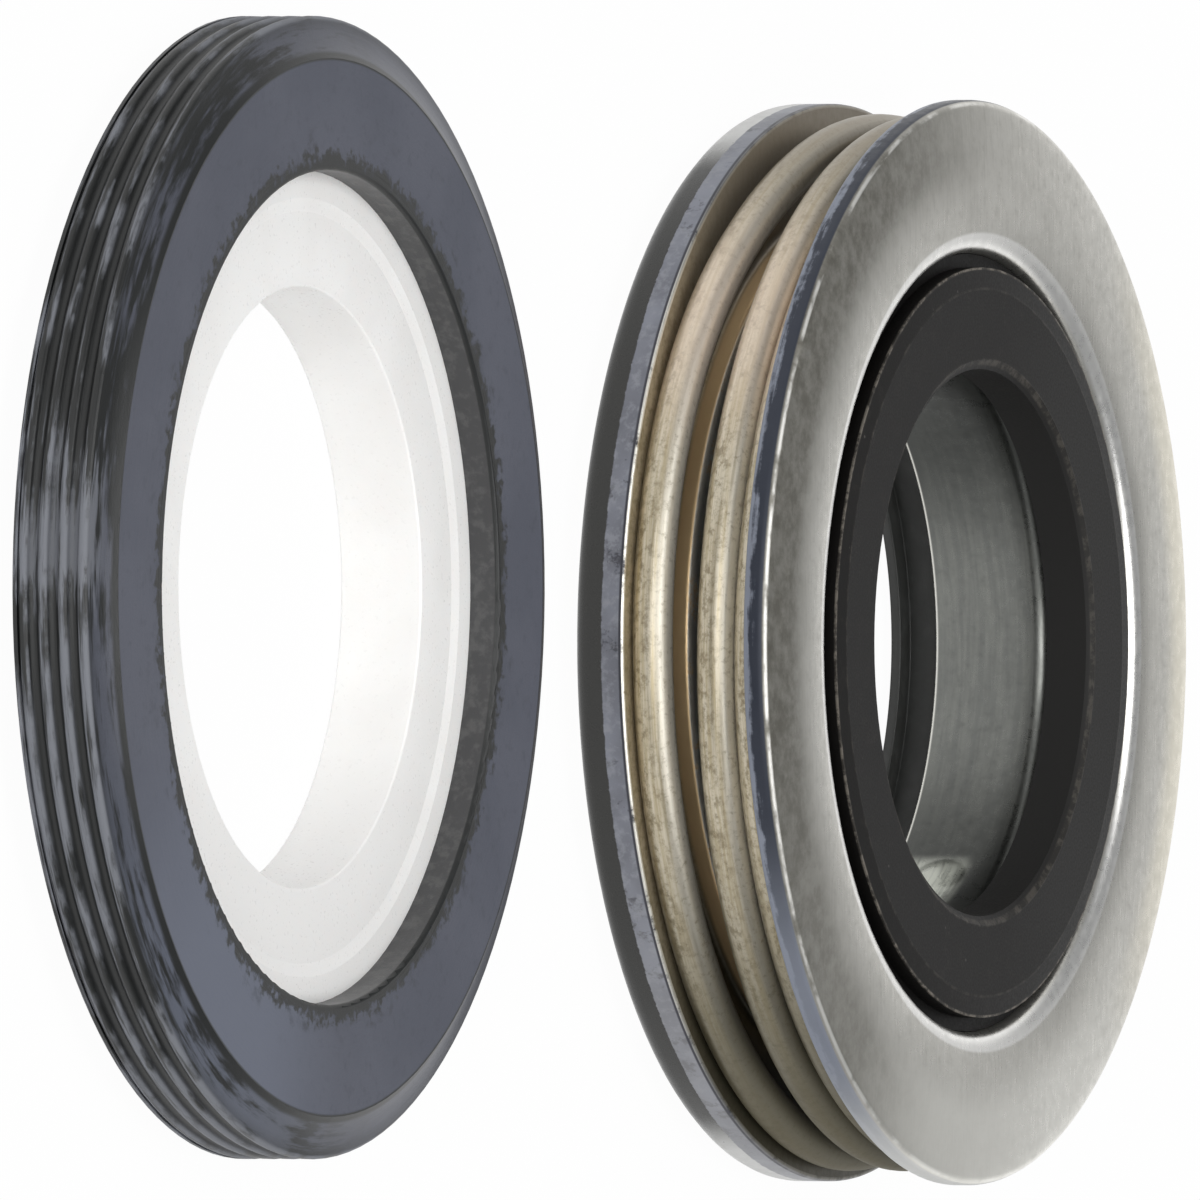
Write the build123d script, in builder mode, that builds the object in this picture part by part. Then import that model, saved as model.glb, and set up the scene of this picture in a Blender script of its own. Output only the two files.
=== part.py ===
# Component mechanical seal for a pump shaft, millimetres, +Z up.
#
# The seal is two halves that lie on their backs, side by side:
#   seat - the stationary half, a ceramic ring in a ribbed rubber cup;
#   head - the rotating half, a carbon ring in a drawn steel shell, which a coil
#          spring holds away from a rear plate, round a rubber boot.
# Each half is turned about its own upright axis. The origin is at the middle of
# the pair, on the surface that they lie on.

import os
from math import cos, radians, sin

from build123d import *

os.makedirs("parts", exist_ok=True)

# --- where the halves lie ---------------------------------------------------
axis_gap = 40.9          # from the seat's axis to the head's axis, along Y
axis_offset = 1.64       # the same across, along X

# --- seat: rubber cup -------------------------------------------------------
cup_radius = 16.72       # over the ribs
seat_height = 3.60       # from the ceramic's running face up to the cup's face
cup_foot = 0.80          # the cup's skirt stops short of the running face
opening_radius = 12.20   # opening in the cup's face
face_radius = 15.48      # edge of the flat of the cup's face
shoulder_drop = 0.45     # the shoulder rounds off outside that edge
shoulder_bulge = 0.07
rib_pitch = 0.63
rib_depth = 0.21
rib_count = 3
edge_round = 0.12        # soft moulded edges
foot_round = 0.05        # below the land that seats in the housing

# --- seat: ceramic ring -----------------------------------------------------
ceramic_radius = 13.93
ceramic_bore = 8.80      # radius
ceramic_height = 2.675
ceramic_recess = 0.085   # the back is ground a little lower round the bore
recess_radius = 11.00
recess_end = 11.40
ceramic_edge = 0.15
bore_edge = 0.07

# --- head: overall ----------------------------------------------------------
tail_stand_off = 0.475   # the boot's tail stands proud of the rear plate
shell_face = 6.95        # height of the shell where its flange meets the lip

# --- head: rear plate -------------------------------------------------------
plate_radius = 16.16
plate_thickness = 1.67
plate_corner = 0.83      # large rolled corner at the back of the rim
plate_edge = 0.10        # blanked corner at its front
collar_radius = 12.90    # outside of the collar drawn forward from the plate
collar_wall = 1.00
collar_top = 2.93
collar_edge = 0.20

# --- head: drawn shell ------------------------------------------------------
flange_radius = 16.26
sheet = 0.72
rim_round = 0.30         # where the blanking rolled the rim over
rim_edge = 0.10
rim_drop = 0.17          # the flange is a shallow dome, lower at the rim
crown_radius = 14.20     # and falls away faster outside this
crown_drop = 0.07
crown_bend = 25.0
lip_bend = 0.51          # bend round the carbon
lip_root = 0.10          # the same bend, at the back of the flange
pocket_radius = 11.67
pocket_floor = 5.53      # the carbon sits on this
floor_bend = 0.25
tube_radius = 8.70       # inside of the tube drawn back from the pocket's floor
tube_wall = 0.30
tube_bend = 0.65
tube_root = 0.35         # the same bend, on the tube's outside
tube_edge = 0.10
tube_end = 1.66
dimple_ball = 1.70       # a ball's dimple pressed into the tube from outside
dimple_depth = 0.20
dimple_height = 3.25
dimple_turn = 36         # degrees from +X

# --- head: carbon ring ------------------------------------------------------
carbon_radius = 11.65    # in the pocket
carbon_step = 6.40       # height where it steps in to the nose
carbon_bore = 8.20       # radius
carbon_nose = 0.05       # proud of the shell's face
nose_radius = 11.24
nose_flat = 10.59        # the nose's edge is relieved outside this
nose_relief = 0.08
chamfer_width = 0.28     # at the bore
chamfer_depth = 0.18

# --- head: rubber boot ------------------------------------------------------
grip_radius = 8.50       # the lip that grips the hub
grip_low = 0.32
grip_high = 0.62
mouth_radius = 9.30      # flared way in at the tail
relief_radius = 9.22     # room for the shell's tube to slide
tail_top = 2.60
boot_wall = 0.70
boot_gap = 0.06          # between the boot and the shell's tube
boot_root = 0.47         # clears the bend at the root of that tube
fold_radius = 12.75      # the boot's fold bulges out to here
fold_outer_round = 0.35
fold_inner_round = 0.17
tail_round = 0.36        # follows the bend into the plate's collar
lip_round = 0.05

# --- head: spring -----------------------------------------------------------
wire_radius = 0.60
coil_radius = 15.25      # to the middle of the wire
wire_gap = 0.01          # between each ground end and its plate
coil_step = 13           # degrees between the points of the coil's path
coil_heights = [         # degrees along the wire, height of its middle
    (-420, 6.28),        # tip of the front end, closed and ground flat
    (-360, 6.02),
    (-280, 5.72),
    (-200, 5.52),
    (-130, 5.35),
    (-60, 5.06),
    (0, 4.815),
    (45, 4.60),
    (80, 4.47),
    (180, 4.05),
    (270, 3.62),         # here it drops on to the rear coil
    (300, 3.30),
    (310, 3.06),
    (325, 2.81),
    (345, 2.72),
    (420, 2.73),
    (490, 2.52),         # tip of the rear end, closed and ground flat
]

# --- derived ----------------------------------------------------------------
spread = axis_gap + cup_radius + flange_radius
seat_y = -spread / 2 + cup_radius
head_y = seat_y + axis_gap
low_x = -cup_radius
high_x = max(cup_radius, axis_offset + flange_radius)
seat_x = -(low_x + high_x) / 2
head_x = seat_x + axis_offset

plate_back = tail_stand_off
plate_front = plate_back + plate_thickness
rim_face = shell_face - rim_drop
crown_face = shell_face - crown_drop
carbon_face = shell_face + carbon_nose
floor_back = pocket_floor - sheet
tube_outside = tube_radius + tube_wall
pocket_outside = pocket_radius + sheet
collar_inside = collar_radius - collar_wall
recess_floor = ceramic_height - ceramic_recess

# Every turned piece is a section in radius and height, revolved about its axis.
seat_section = Plane(origin=(seat_x, seat_y, 0), x_dir=(1, 0, 0), z_dir=(0, -1, 0))
head_section = Plane(origin=(head_x, head_y, 0), x_dir=(1, 0, 0), z_dir=(0, -1, 0))
seat_axis = Axis((seat_x, seat_y, 0), (0, 0, 1))
head_axis = Axis((head_x, head_y, 0), (0, 0, 1))


# --- seat_cup: one rubber moulding, ribbed outside --------------------------
rib_middle = cup_radius - rib_depth / 2
rib_top = seat_height - shoulder_drop
half_pitch = rib_pitch / 2

with BuildPart() as seat_cup:
    with BuildSketch(seat_section):
        with BuildLine():
            FilletPolyline(
                (ceramic_radius, ceramic_height),
                (opening_radius, ceramic_height),
                (opening_radius, seat_height),
                (face_radius, seat_height),
                radius=[0, edge_round],
            )
            SagittaArc(
                (face_radius, seat_height), (rib_middle, rib_top), -shoulder_bulge
            )
            # a groove first, then rib and groove in turn, arc by arc
            for half in range(2 * rib_count + 1):
                start = (rib_middle, rib_top - half * half_pitch)
                end = (rib_middle, rib_top - (half + 1) * half_pitch)
                bulge = rib_depth / 2 if half % 2 == 0 else -rib_depth / 2
                SagittaArc(start, end, bulge)
            FilletPolyline(
                end,
                (cup_radius, end[1]),
                (cup_radius, cup_foot),
                (ceramic_radius, cup_foot),
                (ceramic_radius, ceramic_height),
                radius=[0, foot_round, edge_round],
            )
        make_face()
    revolve(axis=seat_axis)
seat_cup.part.label = "seat_cup"
export_step(seat_cup.part, "parts/seat_cup.step")


# --- seat_ring: the ceramic, running face down ------------------------------
with BuildPart() as seat_ring:
    with BuildSketch(seat_section):
        with BuildLine():
            FilletPolyline(
                (ceramic_bore, 0),
                (ceramic_radius, 0),
                (ceramic_radius, ceramic_height),
                (recess_end, ceramic_height),
                (recess_radius, recess_floor),
                (ceramic_bore, recess_floor),
                radius=[bore_edge, ceramic_edge, 0, 0, 0, bore_edge],
                close=True,
            )
        make_face()
    revolve(axis=seat_axis)
seat_ring.part.label = "seat_ring"
export_step(seat_ring.part, "parts/seat_ring.step")


# --- rear_plate: thick blanked washer with a collar drawn forward -----------
with BuildPart() as rear_plate:
    with BuildSketch(head_section):
        with BuildLine():
            FilletPolyline(
                (collar_inside, plate_back),
                (plate_radius, plate_back),
                (plate_radius, plate_front),
                (collar_radius, plate_front),
                (collar_radius, collar_top),
                (collar_inside, collar_top),
                radius=[
                    collar_wall,
                    plate_corner,
                    plate_edge,
                    collar_edge,
                    collar_edge,
                    collar_edge,
                ],
                close=True,
            )
        make_face()
    revolve(axis=head_axis)
rear_plate.part.label = "rear_plate"
export_step(rear_plate.part, "parts/rear_plate.step")


# --- front_shell: flange, carbon pocket and inner tube drawn from one sheet --
dimple_reach = tube_radius - dimple_depth + dimple_ball
dimple_place = Location(
    (
        head_x + dimple_reach * cos(radians(dimple_turn)),
        head_y + dimple_reach * sin(radians(dimple_turn)),
        dimple_height,
    )
)

with BuildPart() as dimple:
    with Locations(dimple_place):
        Sphere(dimple_ball)
    with Locations((head_x, head_y, dimple_height)):
        Cylinder(tube_outside, 2 * dimple_ball, mode=Mode.INTERSECT)

with BuildPart() as front_shell:
    with BuildSketch(head_section):
        with BuildLine():
            FilletPolyline(
                (tube_radius, tube_end),
                (tube_outside, tube_end),
                (tube_outside, floor_back),
                (pocket_outside, floor_back),
                (pocket_outside, shell_face - sheet),
                (crown_radius, crown_face - sheet),
                (flange_radius, rim_face - sheet),
                (flange_radius, rim_face),
                (crown_radius, crown_face),
                (pocket_radius, shell_face),
                (pocket_radius, pocket_floor),
                (tube_radius, pocket_floor),
                radius=[
                    tube_edge,
                    tube_edge,
                    tube_root,
                    floor_bend + sheet,
                    lip_root,
                    crown_bend,
                    rim_edge,
                    rim_round,
                    crown_bend,
                    lip_bend,
                    floor_bend,
                    tube_bend,
                ],
                close=True,
            )
        make_face()
    revolve(axis=head_axis)
    add(dimple.part)
    with Locations(dimple_place):
        Sphere(dimple_ball - tube_wall, mode=Mode.SUBTRACT)
front_shell.part.label = "front_shell"
export_step(front_shell.part, "parts/front_shell.step")


# --- carbon_ring: the running face of the head ------------------------------
with BuildPart() as carbon_ring:
    with BuildSketch(head_section):
        with BuildLine():
            FilletPolyline(
                (carbon_bore, pocket_floor),
                (carbon_radius, pocket_floor),
                (carbon_radius, carbon_step),
                (nose_radius, carbon_step),
                (nose_radius, carbon_face - nose_relief),
                (nose_flat, carbon_face),
                (carbon_bore + chamfer_width, carbon_face),
                (carbon_bore, carbon_face - chamfer_depth),
                radius=[0, floor_bend, 0, 0, 0, 0, 0, 0],
                close=True,
            )
        make_face()
    revolve(axis=head_axis)
carbon_ring.part.label = "carbon_ring"
export_step(carbon_ring.part, "parts/carbon_ring.step")


# --- boot: one rubber moulding, from the gripping tail up to the shell ------
boot_inside = tube_outside + boot_gap
fold_inside = fold_radius - boot_wall
flange_bottom = floor_back - boot_wall

with BuildPart() as boot:
    with BuildSketch(head_section):
        with BuildLine():
            FilletPolyline(
                (mouth_radius, 0),
                (collar_inside, 0),
                (collar_inside, collar_top),
                (fold_radius, collar_top + edge_round),
                (fold_radius, flange_bottom),
                (pocket_outside, floor_back),
                (boot_inside, floor_back),
                (boot_inside, flange_bottom),
                (fold_inside, flange_bottom),
                (fold_inside, tail_top + boot_wall),
                (relief_radius, tail_top),
                (relief_radius, grip_high),
                (grip_radius, grip_high),
                (grip_radius, grip_low),
                radius=[
                    edge_round,
                    tail_round,
                    0,
                    fold_outer_round,
                    fold_outer_round,
                    0,
                    boot_root,
                    edge_round,
                    fold_inner_round,
                    fold_inner_round,
                    edge_round,
                    lip_round,
                    lip_round,
                    0,
                ],
                close=True,
            )
        make_face()
    revolve(axis=head_axis)
boot.part.label = "boot"
export_step(boot.part, "parts/boot.step")


# --- spring: one round wire, closed and ground flat at both ends ------------
spring_top = rim_face - sheet - wire_gap
spring_foot = plate_front + wire_gap


def wire_height(angle):
    """Height of the wire's middle at an angle along it, in degrees."""
    for (start, start_height), (end, end_height) in zip(coil_heights, coil_heights[1:]):
        if angle <= end:
            break
    share = (angle - start) / (end - start)
    return start_height + (end_height - start_height) * share


def wire_point(angle):
    """The wire's middle. Angle 0 is at the head's -Y side, and it winds towards +X."""
    turn = radians(angle - 90)
    return (
        head_x + coil_radius * cos(turn),
        head_y + coil_radius * sin(turn),
        wire_height(angle),
    )


front_tip = coil_heights[0][0]
rear_tip = coil_heights[-1][0]
coil_points = [wire_point(angle) for angle in range(front_tip, rear_tip + 1, coil_step)]

with BuildPart() as spring:
    with BuildLine() as coil:
        Spline(*coil_points)
    with BuildSketch(Plane(origin=coil.line @ 0, z_dir=coil.line % 0)):
        Circle(wire_radius)
    sweep(path=coil.line, is_frenet=True)
    split(bisect_by=Plane(origin=(head_x, head_y, spring_top)), keep=Keep.BOTTOM)
    split(bisect_by=Plane(origin=(head_x, head_y, spring_foot)), keep=Keep.TOP)
spring.part.label = "spring"
export_step(spring.part, "parts/spring.step")

print("spring wire length", round(coil.wires()[0].length, 1))
print("pieces of the spring", len(spring.part.solids()))
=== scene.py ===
from math import cos, pi, radians, sin

import bmesh
import bpy
from mathutils import Matrix, Vector


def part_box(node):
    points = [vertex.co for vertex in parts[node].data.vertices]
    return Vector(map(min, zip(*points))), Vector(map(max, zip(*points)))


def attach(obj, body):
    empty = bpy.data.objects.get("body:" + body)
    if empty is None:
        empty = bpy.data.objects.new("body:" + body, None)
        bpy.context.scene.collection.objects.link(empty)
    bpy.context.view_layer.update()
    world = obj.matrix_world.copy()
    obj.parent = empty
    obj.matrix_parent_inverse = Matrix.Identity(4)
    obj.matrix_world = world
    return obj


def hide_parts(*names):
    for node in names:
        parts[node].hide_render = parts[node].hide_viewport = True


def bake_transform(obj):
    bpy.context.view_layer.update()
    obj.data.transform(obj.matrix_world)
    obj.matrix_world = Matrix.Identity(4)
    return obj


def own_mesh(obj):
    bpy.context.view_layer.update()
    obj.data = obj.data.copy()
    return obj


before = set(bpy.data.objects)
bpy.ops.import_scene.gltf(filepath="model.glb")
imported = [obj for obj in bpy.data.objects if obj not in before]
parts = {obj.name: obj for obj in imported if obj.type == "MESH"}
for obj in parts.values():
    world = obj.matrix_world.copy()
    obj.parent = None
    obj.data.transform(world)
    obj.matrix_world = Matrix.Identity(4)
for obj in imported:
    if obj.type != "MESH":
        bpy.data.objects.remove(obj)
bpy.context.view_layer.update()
mm = 0.001

print("frame loaded:", len(parts), "parts")


# where the two halves stand, from the frame
def middleOf(part):
    low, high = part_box(part)
    return (low + high) / 2


seatCentre = middleOf("seat_ring")
headCentre = middleOf("carbon_ring")
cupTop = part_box("seat_cup")[1].z / mm


# camera: looks down at the pair from the -Y side, turned a quarter so +Z points right
cameraSettings = {
    "elevation": 23.4,  # degrees
    "distance": 1.480,
    "lens": 1500.0,
    "sensor": 36.0,
    "aim": Vector((-0.225, -0.305, 3.5)) * mm,
    "near": 0.05,
    "far": 20,
}


def placeCamera(settings):
    data = bpy.data.cameras.new("camera")
    data.lens = settings["lens"]
    data.sensor_width = settings["sensor"]
    data.clip_start = settings["near"]
    data.clip_end = settings["far"]
    camera = bpy.data.objects.new("camera", data)
    bpy.context.scene.collection.objects.link(camera)
    rise = radians(settings["elevation"])
    back = Vector((0, -cos(rise), sin(rise)))
    up = Vector((-1, 0, 0))
    turn = Matrix((up.cross(back), up, back)).transposed().to_4x4()
    camera.matrix_world = Matrix.Translation(settings["aim"] + back * settings["distance"]) @ turn
    bpy.context.scene.camera = camera


placeCamera(cameraSettings)


# small helpers that wire up shader nodes
def newMaterial(name):
    material = bpy.data.materials.new(name)
    material.use_nodes = True
    return material, material.node_tree, material.node_tree.nodes["Principled BSDF"]


def plug(tree, value, socket):
    if isinstance(value, bpy.types.NodeSocket):
        tree.links.new(value, socket)
    elif hasattr(value, "__len__") and socket.type == "RGBA" and len(value) == 3:
        socket.default_value = (*value, 1)
    else:
        socket.default_value = value


def calc(tree, operation, a, b=None, c=None, clamp=False):
    node = tree.nodes.new("ShaderNodeMath")
    node.operation = operation
    node.use_clamp = clamp
    for socket, value in zip(node.inputs, (a, b, c)):
        if value is not None:
            plug(tree, value, socket)
    return node.outputs[0]


# goes softly from low to high as the value goes from start to end, both measured from the edge
def spread(tree, value, start, end, low=0.0, high=1.0, edge=0.0):
    node = tree.nodes.new("ShaderNodeMapRange")
    node.interpolation_type = "SMOOTHSTEP"
    plug(tree, value, node.inputs["Value"])
    for socket, number in zip(node.inputs[1:5], (edge + start, edge + end, low, high)):
        plug(tree, number, socket)
    return node.outputs[0]


# 1 between start and end, with a soft fall of this width on both sides
def between(tree, value, start, end, soft, edge=0.0):
    rise = spread(tree, value, start - soft, start + soft, edge=edge)
    fall = spread(tree, value, end - soft, end + soft, 1, 0, edge=edge)
    return overlap(tree, rise, fall)


# where every mask holds
def overlap(tree, mask, *others):
    for other in others:
        mask = calc(tree, "MULTIPLY", mask, other)
    return mask


# lays a colour over a tint where every mask holds; inputs 6 and 7 and output 2 are the colour ones
def paint(tree, tint, colour, *masks):
    node = tree.nodes.new("ShaderNodeMix")
    node.data_type = "RGBA"
    plug(tree, overlap(tree, *masks), node.inputs["Factor"])
    plug(tree, tint, node.inputs[6])
    plug(tree, colour, node.inputs[7])
    return node.outputs[2]


def noise(tree, vector, scale, detail=3.0, rough=0.5):
    node = tree.nodes.new("ShaderNodeTexNoise")
    plug(tree, vector, node.inputs["Vector"])
    node.inputs["Scale"].default_value = scale
    node.inputs["Detail"].default_value = detail
    node.inputs["Roughness"].default_value = rough
    return node.outputs["Fac"]


def specks(tree, vector, scale, size):
    node = tree.nodes.new("ShaderNodeTexVoronoi")
    plug(tree, vector, node.inputs["Vector"])
    node.inputs["Scale"].default_value = scale
    return spread(tree, node.outputs["Distance"], size * 0.5, size, 1, 0)


def combine(tree, x, y, z):
    node = tree.nodes.new("ShaderNodeCombineXYZ")
    for socket, value in zip(node.inputs, (x, y, z)):
        plug(tree, value, socket)
    return node.outputs[0]


# noise with its own scale along each of three values
def stretchedNoise(tree, values, scales, **settings):
    scaled = [calc(tree, "MULTIPLY", value, scale) for value, scale in zip(values, scales)]
    return noise(tree, combine(tree, *scaled), 1.0, **settings)


# depth is in millimetres; under is the bump that this one lies on
def bump(tree, height, depth, strength=1.0, under=None):
    node = tree.nodes.new("ShaderNodeBump")
    node.inputs["Strength"].default_value = strength
    node.inputs["Distance"].default_value = depth * mm
    plug(tree, height, node.inputs["Height"])
    if under is not None:
        plug(tree, under, node.inputs["Normal"])
    return node.outputs[0]


# place on a turned piece, in millimetres: position, radius, height, unit direction
def turnedPlace(tree, centre):
    coordinates = tree.nodes.new("ShaderNodeTexCoord")
    mapping = tree.nodes.new("ShaderNodeMapping")
    mapping.vector_type = "POINT"
    mapping.inputs["Scale"].default_value = (1 / mm,) * 3
    mapping.inputs["Location"].default_value = (-centre.x / mm, -centre.y / mm, 0)
    tree.links.new(coordinates.outputs["Object"], mapping.inputs["Vector"])
    split = tree.nodes.new("ShaderNodeSeparateXYZ")
    tree.links.new(mapping.outputs[0], split.inputs[0])
    x, y, z = split.outputs
    squares = calc(tree, "ADD", calc(tree, "MULTIPLY", x, x), calc(tree, "MULTIPLY", y, y))
    radius = calc(tree, "SQRT", squares)
    return {
        "at": mapping.outputs[0],
        "x": x,
        "y": y,
        "z": z,
        "radius": radius,
        "dirX": calc(tree, "DIVIDE", x, radius),
        "dirY": calc(tree, "DIVIDE", y, radius),
    }


# streaks that run round the piece: quick across it, slow along it
def roundStreaks(tree, place, across, along, **settings):
    out = calc(tree, "ADD", place["radius"], place["z"])
    return stretchedNoise(tree, (place["dirX"], place["dirY"], out), (along, along, across), **settings)


def finishPart(part, material):
    part.data.materials.clear()
    part.data.materials.append(material)


def newPiece(name, bm, material):
    mesh = bpy.data.meshes.new(name)
    bm.to_mesh(mesh)
    bm.free()
    for face in mesh.polygons:
        face.use_smooth = True
    mesh.materials.append(material)
    piece = bpy.data.objects.new(name, mesh)
    bpy.context.scene.collection.objects.link(piece)
    return piece


# a turned piece is spun from its section: (radius, height, round) in millimetres, corner by corner
turning = {
    "merge": 0.001 * mm,
    "sameCorner": 0.002 * mm,
    "roundSegments": 5,
}


def onCorner(vert, radius, height):
    off = max(abs(vert.co.xy.length - radius * mm), abs(vert.co.z - height * mm))
    return off < turning["sameCorner"]


def makeTurned(name, shape, centre, material, reshape=None):
    bm = bmesh.new()
    verts = [bm.verts.new((r * mm, 0, z * mm)) for r, z, _ in shape["section"]]
    edges = [bm.edges.new((verts[i - 1], verts[i])) for i in range(len(verts))]
    bmesh.ops.spin(bm, geom=verts + edges, axis=(0, 0, 1), cent=(0, 0, 0), angle=2 * pi,
                   steps=shape["steps"], use_merge=True)
    bmesh.ops.remove_doubles(bm, verts=bm.verts, dist=turning["merge"])
    for r, z, rounding in shape["section"]:
        if rounding:
            loop = [edge for edge in bm.edges if all(onCorner(vert, r, z) for vert in edge.verts)]
            bmesh.ops.bevel(bm, geom=loop, offset=rounding * mm, offset_type="OFFSET",
                            segments=turning["roundSegments"], profile=0.5, affect="EDGES", material=-1)
    if reshape:
        reshape(bm)
    bmesh.ops.translate(bm, vec=(centre.x, centre.y, 0), verts=bm.verts)
    bmesh.ops.recalc_face_normals(bm, faces=bm.faces)
    return newPiece(name, bm, material)


# in each look below a pattern is a dictionary, and a row of plain numbers is for spread or between

# white ceramic: fired alumina, faintly warm, with grinding marks too fine to feel
ceramicLook = {
    "colour": (0.96, 0.95, 0.93),
    "shade": (0.92, 0.905, 0.885),
    "low": (0.85, 0.84, 0.825),  # painted shade, darker towards the +X side
    "cloud": {"scale": 0.35, "detail": 4},
    "grain": {"scale": 9.0, "detail": 2},
    "cloudy": (0.35, 0.7),
    "grainy": (0.5, 0.9, 0, 0.15),
    "lowSide": (0.3, 0.95, 0, 0.8),
    "roughness": (0.3, 0.7, 0.27, 0.40),
    "relief": 0.004,
    "scatter": {
        "Subsurface Weight": 0.12,
        "Subsurface Radius": (1.0, 0.8, 0.7),
        "Subsurface Scale": 0.6 * mm,
    },
}


def ceramicMaterial(look):
    material, tree, shader = newMaterial("white_ceramic")
    place = turnedPlace(tree, seatCentre)
    cloud = noise(tree, place["at"], **look["cloud"])
    grain = noise(tree, place["at"], **look["grain"])
    tint = paint(tree, look["colour"], look["shade"], spread(tree, cloud, *look["cloudy"]))
    tint = paint(tree, tint, look["shade"], spread(tree, grain, *look["grainy"]))
    # painted shade: the ring is darker towards +X
    tint = paint(tree, tint, look["low"], spread(tree, place["dirX"], *look["lowSide"]))
    plug(tree, tint, shader.inputs["Base Color"])
    plug(tree, spread(tree, grain, *look["roughness"]), shader.inputs["Roughness"])
    plug(tree, bump(tree, grain, look["relief"]), shader.inputs["Normal"])
    for name, value in look["scatter"].items():
        plug(tree, value, shader.inputs[name])
    return material


finishPart(parts["seat_ring"], ceramicMaterial(ceramicLook))
print("ceramic ring done")


# rubber cup: slate bloom on the moulded face, black and scuffed over the ribs
cupLook = {
    "bare": (0.013, 0.014, 0.014),
    "bloom": (0.080, 0.086, 0.112),
    "bloomPale": (0.096, 0.102, 0.130),
    "bloomGrain": (0.06, 0.065, 0.085),
    "bloomThin": (0.055, 0.06, 0.075),
    "bloomThick": (0.135, 0.15, 0.195),  # towards +X and -Y
    "wisp": (0.02, 0.021, 0.022),
    "wall": (0.050, 0.050, 0.052),
    "wallDusty": (0.08, 0.08, 0.08),
    "scuff": (0.165, 0.173, 0.195),
    # sizes
    "faceEdge": 15.48,  # the flat of the face ends here
    "openingEdge": 12.20,
    "ribRadius": 16.72,
    # patterns
    "cloud": {"scale": 0.22, "detail": 4},
    "fuzz": {"scale": 2.6, "detail": 5, "rough": 0.65},
    "grain": {"scale": 22.0, "detail": 2},
    "wisps": {"across": 1.6, "along": 14.0, "detail": 5, "rough": 0.6},
    "streaks": {"across": 8.0, "along": 7.0, "detail": 6, "rough": 0.62},
    "patches": {"scale": 0.16, "detail": 4},
    # the face, from the ragged edge round its opening out to the shoulder
    "ragged": (0.3, 0.7, -0.3, 0.3),
    "faceTop": (-0.10, -0.02),
    "faceStart": (0.32, 0.62),
    "faceEnd": (-0.02, -0.10),
    "cloudy": (0.35, 0.65),
    "grainy": (0.4, 0.75, 0, 0.35),
    "thin": (0.52, 0.75, 0, 0.5),
    "thickX": (0.2, 0.8),
    "thickY": (0.1, -0.4),
    "thickShare": 0.8,
    "wispy": (0.55, 0.72, 0, 0.7),
    "wispReach": (1.8, 0.2),
    # the wall of the opening
    "wallSide": (0.06, 0.03),
    "wallDepth": (-0.10, -0.16),
    "wallDust": (0.45, 0.65),
    # the shoulder
    "shoulderSide": (0.12, 0.25),
    "shoulderDepth": (-0.55, -0.35),
    "patchy": (0.3, 0.7, -0.14, 0.14),
    "shoulderWorn": (0.40, 0.62, 0, 0.75),
    "shoulderKept": (-0.2, 0.3, 0, 0.85),
    # the crests of the ribs, and the place where the cup was gripped
    "crest": (-0.19, -0.03),
    "gripOff": 0.12,  # how far its middle stands to -X
    "gripRagged": (0.3, 0.7, 0.07, -0.07),
    "gripWidth": (0.17, 0.05),
    "gripSide": (0, -0.5),
    "gripRadius": (15.78, 16.52),
    "gripWear": 0.12,
    "gripShare": 0.75,
    "scuffed": (0.42, 0.64),
    # finish
    "roughness": 0.38,
    "bloomRoughness": 0.24,  # added to it by the bloom
    "scuffRoughness": 0.2,
    "gloss": 0.45,
    "streakRelief": (0.02, 0.6),
    "grainRelief": (0.006, 0.7),
}


# the bloom on the rubber: clouded, thin in places, with bare wisps round the opening
def bloomTint(tree, place, look, fuzz, grain):
    cloud = noise(tree, place["at"], **look["cloud"])
    tint = paint(tree, look["bloom"], look["bloomPale"], spread(tree, cloud, *look["cloudy"]))
    tint = paint(tree, tint, look["bloomGrain"], spread(tree, grain, *look["grainy"]))
    tint = paint(tree, tint, look["bloomThin"], spread(tree, fuzz, *look["thin"]))
    thickX = spread(tree, place["dirX"], *look["thickX"])
    thickY = spread(tree, place["dirY"], *look["thickY"])
    tint = paint(tree, tint, look["bloomThick"], thickX, thickY, look["thickShare"])
    wispy = spread(tree, roundStreaks(tree, place, **look["wisps"]), *look["wispy"])
    near = spread(tree, place["radius"], *look["wispReach"], edge=look["openingEdge"])
    return paint(tree, tint, look["wisp"], wispy, near)


# the crests of the ribs are scuffed, worst where the cup was gripped at its -Y side
def scuffMask(tree, place, look, streaks, worn):
    crest = spread(tree, place["radius"], *look["crest"], edge=look["ribRadius"])
    off = calc(tree, "ABSOLUTE", calc(tree, "ADD", place["dirX"], look["gripOff"]))
    off = calc(tree, "ADD", off, spread(tree, streaks, *look["gripRagged"]))
    gripped = overlap(
        tree,
        spread(tree, off, *look["gripWidth"]),
        spread(tree, place["dirY"], *look["gripSide"]),
        spread(tree, place["radius"], *look["gripRadius"]),
    )
    worn = calc(tree, "ADD", worn, calc(tree, "MULTIPLY", gripped, look["gripWear"]))
    area = calc(tree, "MAXIMUM", crest, calc(tree, "MULTIPLY", gripped, look["gripShare"]))
    return overlap(tree, area, spread(tree, worn, *look["scuffed"]))


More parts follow.
